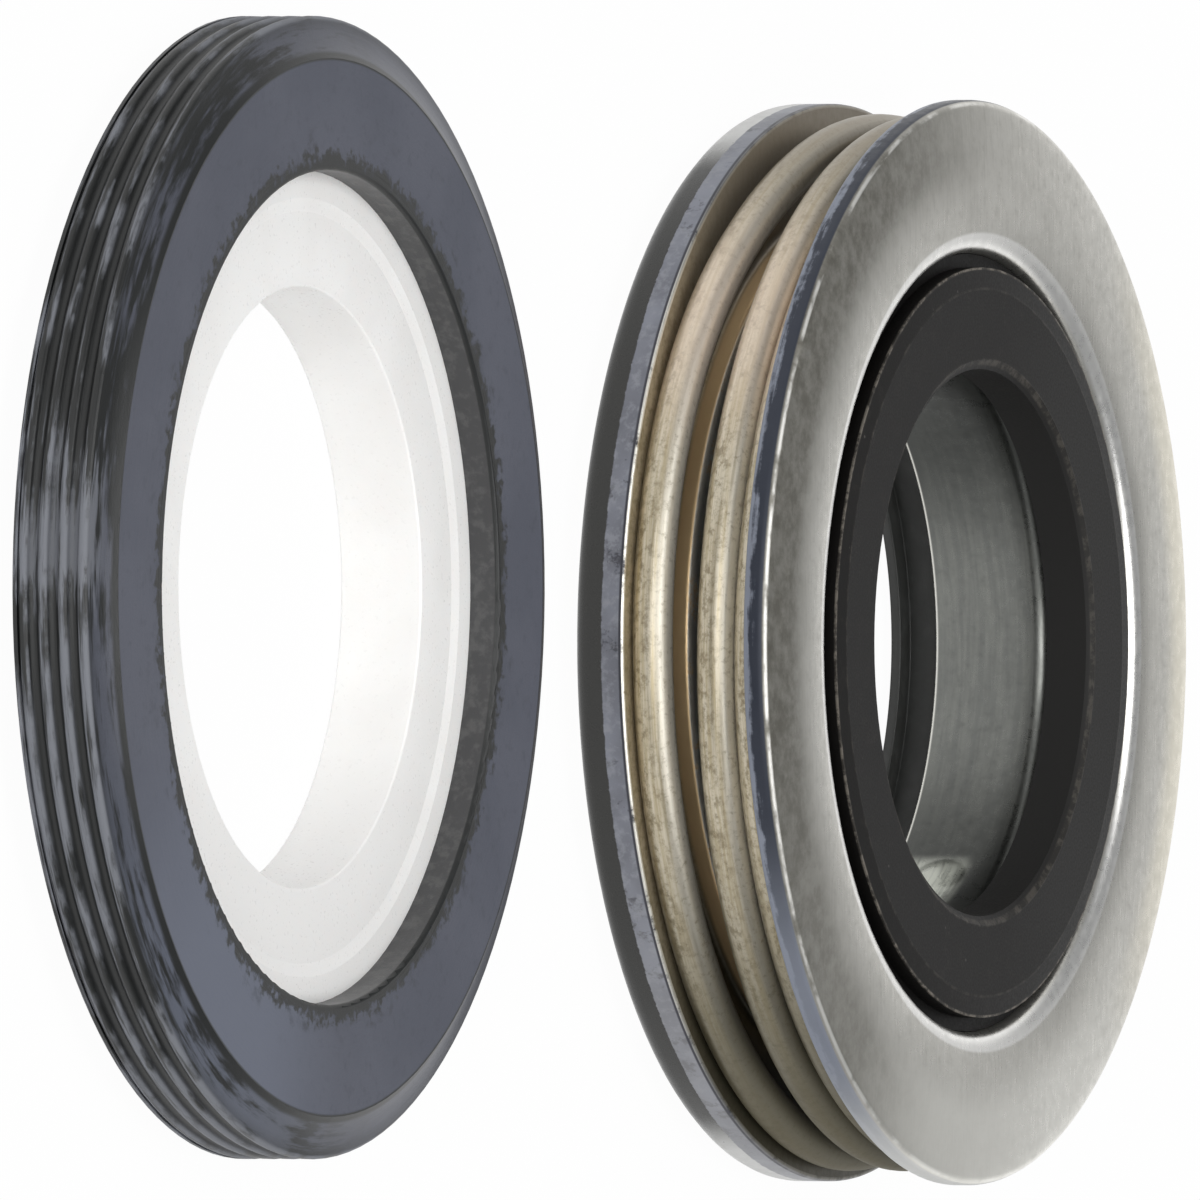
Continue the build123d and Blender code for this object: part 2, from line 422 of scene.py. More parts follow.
def cupMaterial(look):
    material, tree, shader = newMaterial("cup_rubber")
    place = turnedPlace(tree, seatCentre)
    fuzz = noise(tree, place["at"], **look["fuzz"])
    grain = noise(tree, place["at"], **look["grain"])
    bloom = bloomTint(tree, place, look, fuzz, grain)
    ragged = calc(tree, "ADD", place["radius"], spread(tree, fuzz, *look["ragged"]))
    inFace = overlap(tree, spread(tree, ragged, *look["faceStart"], edge=look["openingEdge"]),
                     spread(tree, place["radius"], *look["faceEnd"], edge=look["faceEdge"]))
    bloomed = overlap(tree, spread(tree, place["z"], *look["faceTop"], edge=cupTop), inFace)
    tint = paint(tree, look["bare"], bloom, bloomed)
    wall = paint(tree, look["wall"], look["wallDusty"], spread(tree, fuzz, *look["wallDust"]))
    tint = paint(tree, tint, wall,
                 spread(tree, place["radius"], *look["wallSide"], edge=look["openingEdge"]),
                 spread(tree, place["z"], *look["wallDepth"], edge=cupTop))

    # on the shoulder the bloom is worn off in streaks that run round the cup, less on the +Y side
    streaks = roundStreaks(tree, place, **look["streaks"])
    patches = noise(tree, place["at"], **look["patches"])
    worn = calc(tree, "ADD", streaks, spread(tree, patches, *look["patchy"]))
    kept = calc(tree, "MAXIMUM", spread(tree, worn, *look["shoulderWorn"]),
                spread(tree, place["dirY"], *look["shoulderKept"]))
    tint = paint(tree, tint, bloom,
                 spread(tree, place["radius"], *look["shoulderSide"], edge=look["faceEdge"]),
                 spread(tree, place["z"], *look["shoulderDepth"], edge=cupTop), kept)
    scuffed = scuffMask(tree, place, look, streaks, worn)
    plug(tree, paint(tree, tint, look["scuff"], scuffed), shader.inputs["Base Color"])
    rough = calc(tree, "MULTIPLY_ADD", bloomed, look["bloomRoughness"], look["roughness"])
    rough = calc(tree, "MULTIPLY_ADD", scuffed, look["scuffRoughness"], rough)
    plug(tree, rough, shader.inputs["Roughness"])
    shader.inputs["Specular IOR Level"].default_value = look["gloss"]
    relief = bump(tree, streaks, *look["streakRelief"])
    plug(tree, bump(tree, grain, *look["grainRelief"], relief), shader.inputs["Normal"])
    return material


finishPart(parts["seat_cup"], cupMaterial(cupLook))
print("rubber cup done")


# steel shell: flange, lip, pocket and tube in one sheet, with a ball's dimple in the tube
shellDome = {
    "crown": 12.86,  # the flange is highest at this radius
    "top": 6.935,
    "fall": 0.155,  # from the crown to the rim
    "rim": 16.26,
    "step": 0.30,
    "rows": range(2, 12),
}
dimpleRows = [2.25 + 0.125 * row for row in range(17)]  # heights that the dimple bends
dimple = {"ball": 1.70, "depth": 0.20, "height": 3.25, "turn": 36, "tube": 8.70, "wall": 0.30, "slack": 1.05}


def domePoint(dome, row):
    radius = dome["rim"] - dome["step"] * row
    share = (radius - dome["crown"]) / (dome["rim"] - dome["crown"])
    return radius, dome["top"] - dome["fall"] * share ** 2, 0


shellShape = {
    "steps": 320,
    "section": [
        (8.70, 1.66, 0.10),  # end of the tube
        (9.00, 1.66, 0.10),
        *[(9.00, height, 0) for height in dimpleRows],
        (9.00, 4.81, 0.35),  # under the pocket's floor
        (12.39, 4.81, 0.97),
        (12.39, 6.23, 0.10),  # under the flange
        (14.20, 6.16, 0.26),
        (16.26, 6.06, 0.10),
        (16.26, 6.78, 0.26),  # rim
        *[domePoint(shellDome, row) for row in shellDome["rows"]],
        (12.60, 6.928, 0),
        (12.30, 6.908, 0),
        (11.67, 6.850, 0.44),  # lip round the carbon
        (11.67, 5.53, 0.25),  # pocket's floor
        (8.70, 5.53, 0.65),
        *[(8.70, height, 0) for height in reversed(dimpleRows)],
    ],
}


# push the tube's wall in where the ball was pressed
def pressDimple(bm):
    middle = dimple["tube"] - dimple["depth"] + dimple["ball"]
    turn = radians(dimple["turn"])
    for vert in bm.verts:
        out = vert.co.x * cos(turn) + vert.co.y * sin(turn)
        across = vert.co.y * cos(turn) - vert.co.x * sin(turn)
        beyond = vert.co.xy.length / mm - dimple["tube"]
        if out < 0 or beyond > dimple["wall"] * dimple["slack"]:
            continue
        ball = dimple["ball"] if beyond < dimple["wall"] / 2 else dimple["ball"] - dimple["wall"]
        away = ball ** 2 - (across / mm) ** 2 - (vert.co.z / mm - dimple["height"]) ** 2
        if away > 0:
            reach = middle - away ** 0.5
            if reach < out / mm:
                push = (reach - out / mm) * mm
                vert.co.x += push * cos(turn)
                vert.co.y += push * sin(turn)


shellLook = {
    "face": (0.70, 0.685, 0.635),
    "faceDark": (0.40, 0.39, 0.35),
    "paintedReflectionLow": (0.95, 0.94, 0.88),  # painted reflection, paler towards the +X side
    "paintedReflectionFar": (0.90, 0.85, 0.71),  # painted reflection, yellower towards the +Y side
    # partly real smudge, partly painted shade on the -Y side
    "smudgeAndShade": (0.12, 0.113, 0.092),
    "edgeTorn": (0.22, 0.24, 0.29),
    # the burnished band of the cut, painted near black as shade
    "edgeBurnishedAndShade": (0.026, 0.031, 0.046),
    # painted highlight on the rim's corner
    "corner": (0.95, 0.94, 0.90),
    # painted highlight round the lip
    "lip": (0.95, 0.94, 0.91),
    "tube": (0.21, 0.215, 0.20),
    "tubeIroned": (0.175, 0.18, 0.17),
    "tubeStained": (0.12, 0.125, 0.12),
    # painted shade at the tube's sides, towards +X and -X
    "tubeSideShade": (0.035, 0.037, 0.035),
    # painted shade towards +X
    "tubeLow": (0.06, 0.062, 0.058),
    # the ball-polished dimple, painted pale as a highlight
    "tubePolishedHighlight": (0.66, 0.68, 0.60),
    # painted highlight on the tube's end
    "tubeEndHighlight": (0.85, 0.84, 0.78),
    # sizes
    "rimRadius": 16.26,
    "tornTop": 6.26,  # the torn part of the blanked edge ends here
    "burnishedTop": 6.66,
    # patterns
    "cloud": {"scale": 0.30, "detail": 5, "rough": 0.6},
    "mottle": {"scale": 2.6, "detail": 6, "rough": 0.7},
    "rolled": {"scales": (0.7, 9.0, 2.0), "detail": 4, "rough": 0.6},
    "wiped": {"across": 1.6, "along": 22.0, "detail": 5, "rough": 0.65},
    "smears": {"across": 4.0, "along": 8.0, "detail": 4, "rough": 0.6},
    "ironed": {"across": 5.0, "along": 3.0, "detail": 4, "rough": 0.6},
    # the flange, with its painted reflections and the painted highlight on its lip
    "cloudy": (0.35, 0.7, 0, 0.25),
    "rolledMarks": (0.45, 0.7, 0, 0.2),
    "mottled": (0.5, 0.75, 0, 0.35),
    "dulledFrom": (12.9, 14.8),
    "dulledSide": (0.35, -0.6),
    "dulledLess": (0.15, 0.75, 1, 0.75),
    "wipedMarks": (0.32, 0.68, 0.74, 1),
    "smudgeAndShadeShare": 0.95,
    "lowSide": (0.55, 0.95),
    "lowFrom": (12.8, 14.4),
    "lowNotBy": (-0.7, -0.2),
    "lowShare": 0.6,
    "farSide": (0.6, 0.98),
    "farFrom": (14.0, 15.4),
    "farShare": 0.8,
    "lipBand": (11.8, 12.28, 0.06),
    # the blanked edge; its burnished band is painted dark as shade, and its corner gets a painted highlight
    "edge": (-0.06, -0.03),
    "edgeMottled": (0.3, 0.7, -0.05, 0.05),
    "edgeSmeared": (0.3, 0.7, -0.12, 0.12),
    "burnishedFrom": (-0.08, 0.10),
    "edgeLow": (0.30, 0.65),
    "burnishedLess": (0.30, 0.65, 1, 0.25),
    "burnishedTo": (0, 0.08, 1, 0),
    "cornerBand": (16.09, 16.18, 0.03),
    "cornerFrom": (0, 0.05),
    "cornerRubbed": (0.42, 0.56, 0, 0.7),
    # the tube, with its painted shade and painted highlights
    "inTube": (9.45, 9.15),
    "tubeStreaks": (0.35, 0.65),
    "tubeStains": (0.5, 0.75, 0, 0.4),
    "tubeTurn": 0.12,  # how far its brightest part, between the painted shade on its sides, stands to +X
    "tubeSideways": (0.30, 0.85, 0, 0.8),
    "tubeLowSide": (0.25, 0.7, 0, 0.6),
    "polishedBand": (0.76, 0.91, 0.03),
    "polishedBelow": (4.3, 3.7),
    "polishedStreaks": (0.30, 0.55, 0.5, 1),
    "tubeEndBelow": (1.80, 1.72),
    # finish
    "metal": 0.92,
    "smudgeMetal": 0.25,  # each of these is taken from it
    "polishedMetal": 0.6,
    "edgeLowMetal": 0.3,
    "edgeMetal": 0.4,
    "roughness": (0.3, 0.7, 0.25, 0.36),
    "smudgeRoughness": 0.18,
    "edgeLowRoughness": 0.25,
    "rolledRelief": (0.004, 0.8),
    "mottleRelief": (0.004, 0.6),
}


# the outer part of the flange is darker, most of all on the -Y side: partly real handling smudges, which
# also dull its finish, and partly painted shade
def smudgeAndShadeMask(tree, place, look):
    return overlap(
        tree,
        spread(tree, place["radius"], *look["dulledFrom"]),
        spread(tree, place["dirY"], *look["dulledSide"]),
        spread(tree, place["dirX"], *look["dulledLess"]),
        spread(tree, roundStreaks(tree, place, **look["wiped"]), *look["wipedMarks"]),
    )


# the blanked edge: torn below and burnished above, where it is painted dark as shade, less towards +X; its
# corner gets a painted highlight, broken in places
def rimTint(tree, place, look, tint, edge, mottle):
    smears = roundStreaks(tree, place, **look["smears"])
    ragged = calc(tree, "ADD", place["z"], spread(tree, mottle, *look["edgeMottled"]))
    ragged = calc(tree, "ADD", ragged, spread(tree, smears, *look["edgeSmeared"]))
    edgeTint = paint(tree, look["edgeTorn"], look["edgeBurnishedAndShade"],
                     spread(tree, ragged, *look["burnishedFrom"], edge=look["tornTop"]),
                     spread(tree, place["dirX"], *look["burnishedLess"]))
    below = spread(tree, place["z"], *look["burnishedTo"], edge=look["burnishedTop"])
    tint = paint(tree, tint, edgeTint, edge, below)
    # painted highlight on the corner, broken in places
    return paint(tree, tint, look["corner"],
                 between(tree, place["radius"], *look["cornerBand"]),
                 spread(tree, place["z"], *look["cornerFrom"], edge=look["burnishedTop"]),
                 spread(tree, smears, *look["cornerRubbed"]))


# painted reflections make the flange paler towards +X and yellower towards +Y, and its lip gets a painted
# highlight
def flangeLights(tree, place, look, tint):
    # painted reflections towards +X and towards +Y
    tint = paint(tree, tint, look["paintedReflectionLow"],
                 spread(tree, place["dirX"], *look["lowSide"]),
                 spread(tree, place["radius"], *look["lowFrom"]),
                 spread(tree, place["dirY"], *look["lowNotBy"]), look["lowShare"])
    tint = paint(tree, tint, look["paintedReflectionFar"],
                 spread(tree, place["dirY"], *look["farSide"]),
                 spread(tree, place["radius"], *look["farFrom"]), look["farShare"])
    # painted highlight on the lip
    return paint(tree, tint, look["lip"], between(tree, place["radius"], *look["lipBand"]))


# the tube is streaked by drawing; painted shade darkens it towards +X and -X; its ball-polished dimple is
# painted pale as a highlight, and its end gets a painted highlight
def tubeTint(tree, place, look, mottle, ironed, polishedHighlight):
    tint = paint(tree, look["tube"], look["tubeIroned"], spread(tree, ironed, *look["tubeStreaks"]))
    tint = paint(tree, tint, look["tubeStained"], spread(tree, mottle, *look["tubeStains"]))
    off = calc(tree, "ABSOLUTE", calc(tree, "SUBTRACT", place["dirX"], look["tubeTurn"]))
    tint = paint(tree, tint, look["tubeSideShade"], spread(tree, off, *look["tubeSideways"]))
    tint = paint(tree, tint, look["tubeLow"], spread(tree, place["dirX"], *look["tubeLowSide"]))
    tint = paint(tree, tint, look["tubePolishedHighlight"], polishedHighlight)
    return paint(tree, tint, look["tubeEndHighlight"], spread(tree, place["z"], *look["tubeEndBelow"]))


def shellMaterial(look):
    material, tree, shader = newMaterial("shell_steel")
    place = turnedPlace(tree, headCentre)
    cloud = noise(tree, place["at"], **look["cloud"])
    mottle = noise(tree, place["at"], **look["mottle"])
    rolled = stretchedNoise(tree, (place["x"], place["y"], place["z"]), **look["rolled"])
    ironed = roundStreaks(tree, place, **look["ironed"])
    smudgeAndShade = smudgeAndShadeMask(tree, place, look)
    edge = spread(tree, place["radius"], *look["edge"], edge=look["rimRadius"])
    edgeLow = overlap(tree, edge, spread(tree, place["dirX"], *look["edgeLow"]))
    inTube = spread(tree, place["radius"], *look["inTube"])
    # the dimple's band: polished, and painted pale as a highlight
    polishedHighlight = overlap(
        tree,
        between(tree, place["dirX"], *look["polishedBand"]),
        spread(tree, place["z"], *look["polishedBelow"]),
        spread(tree, ironed, *look["polishedStreaks"]),
        inTube,
    )

    tint = paint(tree, look["face"], look["faceDark"], spread(tree, cloud, *look["cloudy"]))
    tint = paint(tree, tint, look["faceDark"], spread(tree, rolled, *look["rolledMarks"]))
    tint = paint(tree, tint, look["smudgeAndShade"], smudgeAndShade, look["smudgeAndShadeShare"])
    tint = paint(tree, tint, look["faceDark"], spread(tree, mottle, *look["mottled"]))
    tint = rimTint(tree, place, look, tint, edge, mottle)
    tint = flangeLights(tree, place, look, tint)
    tint = paint(tree, tint, tubeTint(tree, place, look, mottle, ironed, polishedHighlight), inTube)
    plug(tree, tint, shader.inputs["Base Color"])

    metal = look["metal"]
    for mask, name in ((smudgeAndShade, "smudgeMetal"), (polishedHighlight, "polishedMetal"),
                       (edgeLow, "edgeLowMetal"), (edge, "edgeMetal")):
        metal = calc(tree, "SUBTRACT", metal, calc(tree, "MULTIPLY", mask, look[name]))
    plug(tree, metal, shader.inputs["Metallic"])
    rough = spread(tree, mottle, *look["roughness"])
    for mask, name in ((smudgeAndShade, "smudgeRoughness"), (edgeLow, "edgeLowRoughness")):
        rough = calc(tree, "ADD", rough, calc(tree, "MULTIPLY", mask, look[name]))
    plug(tree, rough, shader.inputs["Roughness"])
    relief = bump(tree, rolled, *look["rolledRelief"])
    plug(tree, bump(tree, mottle, *look["mottleRelief"], relief), shader.inputs["Normal"])
    return material


shell = makeTurned("steel_shell", shellShape, headCentre, shellMaterial(shellLook), pressDimple)
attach(shell, "front")
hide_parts("front_shell")
print("front shell done:", len(shell.data.polygons), "faces")


# rear plate: a thick blanked washer with a collar drawn forward
plateShape = {
    "steps": 320,
    "section": [
        (11.90, 0.475, 1.00),
        (16.16, 0.475, 0.56),  # rolled corner
        (16.16, 2.145, 0.10),
        (12.90, 2.145, 0.20),  # foot of the collar
        (12.90, 2.93, 0.20),
        (11.90, 2.93, 0.20),
    ],
}
plateLook = {
    "face": (0.56, 0.48, 0.34),
    "faceDark": (0.28, 0.23, 0.14),
    "paintedShadeLow": (0.05, 0.046, 0.03),  # painted shade towards the +X side
    "paintedShadeHigh": (0.25, 0.215, 0.165),  # painted shade towards the -X side
    "collar": (0.80, 0.58, 0.32),
    "edgeTorn": (0.22, 0.23, 0.268),
    "edgeShade": (0.15, 0.155, 0.18),
    "edgePale": (0.29, 0.30, 0.33),
    # painted light: the blanked edge is paler towards +X
    "edgeLow": (0.33, 0.33, 0.34),
    # painted highlight on the front corners
    "edgeHighlight": (0.93, 0.91, 0.84),
    # dark of the struck nicks, also used for the painted shadow under the front
    "nickAndShadow": (0.05, 0.05, 0.06),
    # painted dark reflection on the rolled corner, and a painted highlight at its ends
    "rolled": (0.018, 0.018, 0.016),
    "rolledEndHighlight": (0.55, 0.55, 0.54),
    # sizes
    "rimRadius": 16.16,
    "rolledTop": 1.46,  # the rolled corner ends here, above the floor
    "front": 2.145,
    "collarTop": 2.93,
    # patterns
    "mottle": {"scale": 2.8, "detail": 6, "rough": 0.7},
    "cloud": {"scale": 0.4, "detail": 4},
    "nicks": {"scale": 0.9, "detail": 5, "rough": 0.72},
    # the face and the collar; painted shade darkens the face towards +X and -X
    "cloudy": (0.35, 0.7, 0, 0.4),
    "mottled": (0.42, 0.66, 0, 0.8),
    "lowSide": (0.25, 0.85, 0, 0.95),
    "highSide": (-0.45, -0.9, 0, 0.95),
    "collarFrom": (0.1, 0.3),
    "collarSide": (13.2, 13.0),
    # the blanked edge, paler towards +X as painted light, with a painted shadow under the front
    "edge": (-0.06, -0.03),
    "edgeCloudy": (0.35, 0.65),
    "struckMore": (0.3, 0.8, 0, 0.05),
    "struck": (0.57, 0.65, 0, 0.85),
    "edgeMottled": (0.46, 0.66, 0, 0.6),
    "edgeLowSide": (0.3, 0.8, 0, 0.45),
    "edgeShadow": (-0.17, -0.12),
    # the painted highlights on the front corners
    "cornerTop": (-0.08, -0.05),
    "cornerSide": (-0.13, -0.10),
    "lipTop": (-0.13, -0.08),
    "unstruck": (0.66, 0.5),
    "cornerEnds": (0.85, 0.55, 0.15, 1),
    # the rolled corner at the back, painted dark as a reflection of shade, with painted highlights at its
    # ends
    "rolledRagged": (0.3, 0.7, -0.02, 0.02),
    "rolledBelow": (-0.03, 0.01, 1, 0),
    "rolledSide": (-0.72, -0.6),
    "rolledEnds": (0.87, 0.95),
    "rolledEndLoss": 0.9,  # share of the rolled finish that its ends lose
    # finish
    "metal": 0.6,
    "rolledMetal": 0.6,
    "brightMetal": 0.3,
    "roughness": (0.3, 0.7, 0.30, 0.44),
    "rolledRoughness": 0.12,
    "relief": (0.008, 0.6),
}


def plateEdgeTint(tree, place, look, cloud, mottle, nicks):
    tint = paint(tree, look["edgeTorn"], look["edgeShade"], spread(tree, cloud, *look["edgeCloudy"]))
    struck = calc(tree, "ADD", nicks, spread(tree, place["dirX"], *look["struckMore"]))
    tint = paint(tree, tint, look["nickAndShadow"], spread(tree, struck, *look["struck"]))
    tint = paint(tree, tint, look["edgePale"], spread(tree, mottle, *look["edgeMottled"]))
    # painted light towards +X
    tint = paint(tree, tint, look["edgeLow"], spread(tree, place["dirX"], *look["edgeLowSide"]))
    # painted shadow under the front
    return paint(tree, tint, look["nickAndShadow"], spread(tree, place["z"], *look["edgeShadow"], edge=look["front"]))


# both front corners get a painted highlight, less towards +X and -X and where they were struck
def highlightMask(tree, place, look, nicks, sideways):
    corner = overlap(tree, spread(tree, place["z"], *look["cornerTop"], edge=look["front"]),
                     spread(tree, place["radius"], *look["cornerSide"], edge=look["rimRadius"]))
    lip = spread(tree, place["z"], *look["lipTop"], edge=look["collarTop"])
    return overlap(tree, calc(tree, "MAXIMUM", corner, lip), spread(tree, nicks, *look["unstruck"]),
                   spread(tree, sideways, *look["cornerEnds"]))


def plateMaterial(look):
    material, tree, shader = newMaterial("plate_steel")
    place = turnedPlace(tree, headCentre)
    mottle = noise(tree, place["at"], **look["mottle"])
    cloud = noise(tree, place["at"], **look["cloud"])
    nicks = noise(tree, place["at"], **look["nicks"])
    sideways = calc(tree, "ABSOLUTE", place["dirX"])
    tint = paint(tree, look["face"], look["faceDark"], spread(tree, cloud, *look["cloudy"]))
    tint = paint(tree, tint, look["faceDark"], spread(tree, mottle, *look["mottled"]))
    # painted shade: the face is darker towards +X and -X
    tint = paint(tree, tint, look["paintedShadeLow"], spread(tree, place["dirX"], *look["lowSide"]))
    tint = paint(tree, tint, look["paintedShadeHigh"], spread(tree, place["dirX"], *look["highSide"]))
    edge = spread(tree, place["radius"], *look["edge"], edge=look["rimRadius"])
    tint = paint(tree, tint, plateEdgeTint(tree, place, look, cloud, mottle, nicks), edge)
    tint = paint(tree, tint, look["collar"],
                 spread(tree, place["z"], *look["collarFrom"], edge=look["front"]),
                 spread(tree, place["radius"], *look["collarSide"]))
    bright = highlightMask(tree, place, look, nicks, sideways)
    tint = paint(tree, tint, look["edgeHighlight"], bright)

    # the rolled corner is smooth and painted dark as a reflection of shade; towards +X and -X it is bare
    # metal, painted pale as a highlight
    ragged = calc(tree, "ADD", place["z"], spread(tree, mottle, *look["rolledRagged"]))
    rolled = overlap(tree, spread(tree, ragged, *look["rolledBelow"], edge=look["rolledTop"]),
                     spread(tree, place["radius"], *look["rolledSide"], edge=look["rimRadius"]))
    end = spread(tree, sideways, *look["rolledEnds"])
    tint = paint(tree, tint, paint(tree, look["rolled"], look["rolledEndHighlight"], end), rolled)
    plug(tree, tint, shader.inputs["Base Color"])
    lost = calc(tree, "MULTIPLY", end, look["rolledEndLoss"])
    rolled = overlap(tree, rolled, calc(tree, "SUBTRACT", 1.0, lost))
    metal = calc(tree, "SUBTRACT", look["metal"], calc(tree, "MULTIPLY", rolled, look["rolledMetal"]))
    metal = calc(tree, "ADD", metal, calc(tree, "MULTIPLY", bright, look["brightMetal"]))
    plug(tree, metal, shader.inputs["Metallic"])
    rough = spread(tree, mottle, *look["roughness"])
    rough = calc(tree, "SUBTRACT", rough, calc(tree, "MULTIPLY", rolled, look["rolledRoughness"]))
    plug(tree, rough, shader.inputs["Roughness"])
    plug(tree, bump(tree, mottle, *look["relief"]), shader.inputs["Normal"])
    return material


plate = makeTurned("steel_plate", plateShape, headCentre, plateMaterial(plateLook))
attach(plate, "base")
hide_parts("rear_plate")
print("rear plate done:", len(plate.data.polygons), "faces")


# carbon ring: lapped dark graphite with pores that catch the light
carbonLook = {
    "face": (0.0095, 0.0088, 0.0084),
    "facePale": (0.015, 0.0142, 0.0135),
    "stain": (0.024, 0.021, 0.019),
    "far": (0.019, 0.0185, 0.0178),  # painted light, paler towards the +Y side
    "side": (0.0035, 0.0030, 0.0028),
    "pore": (0.07, 0.065, 0.06),
    "worn": (0.15, 0.135, 0.115),  # edges rubbed paler
    # sizes
    "noseFlat": 10.59,
    "noseRadius": 11.24,
    "noseSide": 6.92,  # the nose's side ends here, above the floor
    "boreEdge": 8.48,
    # patterns
    "grain": {"scale": 14.0, "detail": 3},
    "pores": {"scale": 1.6, "size": 0.09},
    "porous": {"scale": 0.9, "detail": 2},
    "mottle": {"scale": 2.2, "detail": 5, "rough": 0.7},
    # ramps
    "grainy": (0.35, 0.7),
    "porousPart": (0.5, 0.62),
    "stained": (0.5, 0.75, 0, 0.5),
    "farSide": (0.1, 0.8),
    "sideBelow": (-0.02, -0.08),
    "sideFrom": (-0.06, -0.02),
    # the rubbed edges: (from, to, soft), and how much each is rubbed
    "noseBand": (-0.03, 0.05, 0.02),
    "noseShare": 0.15,
    "rimBand": (-0.07, 0.02, 0.02),
    "boreBand": (-0.16, 0.03, 0.03),
    "boreShare": 0.3,
    "wornPart": (0.44, 0.60, 0.15, 1),
    # finish
    "roughness": (0.3, 0.7, 0.44, 0.56),
    "gloss": 0.14,
    "relief": (0.004, 0.6),
}


# the edge of the nose's flat, the corner of its side and the edge of the bore are rubbed in places
def carbonWornMask(tree, place, look, mottle, under):
    nose = between(tree, place["radius"], *look["noseBand"], edge=look["noseFlat"])
    rim = between(tree, place["radius"], *look["rimBand"], edge=look["noseRadius"])
    rim = calc(tree, "MULTIPLY", rim, calc(tree, "SUBTRACT", 1.0, under))
    bore = between(tree, place["radius"], *look["boreBand"], edge=look["boreEdge"])
    worn = calc(tree, "ADD", calc(tree, "MULTIPLY", nose, look["noseShare"]),
                calc(tree, "ADD", rim, calc(tree, "MULTIPLY", bore, look["boreShare"])))
    return calc(tree, "MULTIPLY", worn, spread(tree, mottle, *look["wornPart"]), clamp=True)


def carbonMaterial(look):
    material, tree, shader = newMaterial("carbon")
    place = turnedPlace(tree, headCentre)
    grain = noise(tree, place["at"], **look["grain"])
    mottle = noise(tree, place["at"], **look["mottle"])
    porous = noise(tree, place["at"], **look["porous"])
    tint = paint(tree, look["face"], look["facePale"], spread(tree, grain, *look["grainy"]))
    tint = paint(tree, tint, look["pore"], specks(tree, place["at"], **look["pores"]),
                 spread(tree, porous, *look["porousPart"]))
    tint = paint(tree, tint, look["stain"], spread(tree, mottle, *look["stained"]))
    # painted light: the ring is paler towards +Y
    tint = paint(tree, tint, look["far"], spread(tree, place["dirY"], *look["farSide"]))
    under = spread(tree, place["z"], *look["sideBelow"], edge=look["noseSide"])
    tint = paint(tree, tint, look["side"],
                 spread(tree, place["radius"], *look["sideFrom"], edge=look["noseRadius"]), under)
    tint = paint(tree, tint, look["worn"], carbonWornMask(tree, place, look, mottle, under))
    plug(tree, tint, shader.inputs["Base Color"])
    plug(tree, spread(tree, grain, *look["roughness"]), shader.inputs["Roughness"])
    shader.inputs["Specular IOR Level"].default_value = look["gloss"]
    plug(tree, bump(tree, grain, *look["relief"]), shader.inputs["Normal"])
    return material


finishPart(parts["carbon_ring"], carbonMaterial(carbonLook))
print("carbon ring done")


# spring: one length of drawn wire, straw coloured, closed and ground flat at both ends
springShape = {
    "wireRadius": 0.60,
    "coilRadius": 15.25,
    # degrees along the wire, height of its middle; 0 is at the -Y side and it winds towards +X
    "heights": [
        (-420, 6.28), (-360, 6.02), (-280, 5.72), (-200, 5.52), (-130, 5.35), (-60, 5.06), (0, 4.815),
        (45, 4.60), (80, 4.47), (180, 4.05), (270, 3.62), (300, 3.30), (310, 3.06), (325, 2.81), (345, 2.72),
        (420, 2.73), (490, 2.52),
    ],
    "ease": 8,  # degrees that soften each change of slope
    "easeShares": (-1, -0.5, 0, 0.5, 1),
    "step": 2,
    "aheadStep": 0.5,  # degrees ahead and behind that give the direction
    "sides": 32,
    "endSegments": 3,
    "endRound": 0.06,
}


def knotHeight(knots, angle):
    for (start, startHeight), (end, endHeight) in zip(knots, knots[1:]):
        if angle <= end:
            break
    share = min(max((angle - start) / (end - start), 0), 1)
    return startHeight + (endHeight - startHeight) * share


def springPoint(shape, angle):
    near = [knotHeight(shape["heights"], angle + shape["ease"] * share) for share in shape["easeShares"]]
    around = radians(angle - 90)
    return Vector((
        headCentre.x + shape["coilRadius"] * mm * cos(around),
        headCentre.y + shape["coilRadius"] * mm * sin(around),
        sum(near) / len(near) * mm,
    ))


# a frame on the path: its own Z runs along the wire
def pathFrame(shape, angle):
    here = springPoint(shape, angle)
    ahead = springPoint(shape, angle + shape["aheadStep"]) - springPoint(shape, angle - shape["aheadStep"])
    ahead.normalize()
    out = Vector((here.x - headCentre.x, here.y - headCentre.y, 0)).normalized()
    side = ahead.cross(out).normalized()
    out = side.cross(ahead)
    turn = Matrix((out, side, ahead)).transposed().to_4x4()
    return Matrix.Translation(here) @ turn


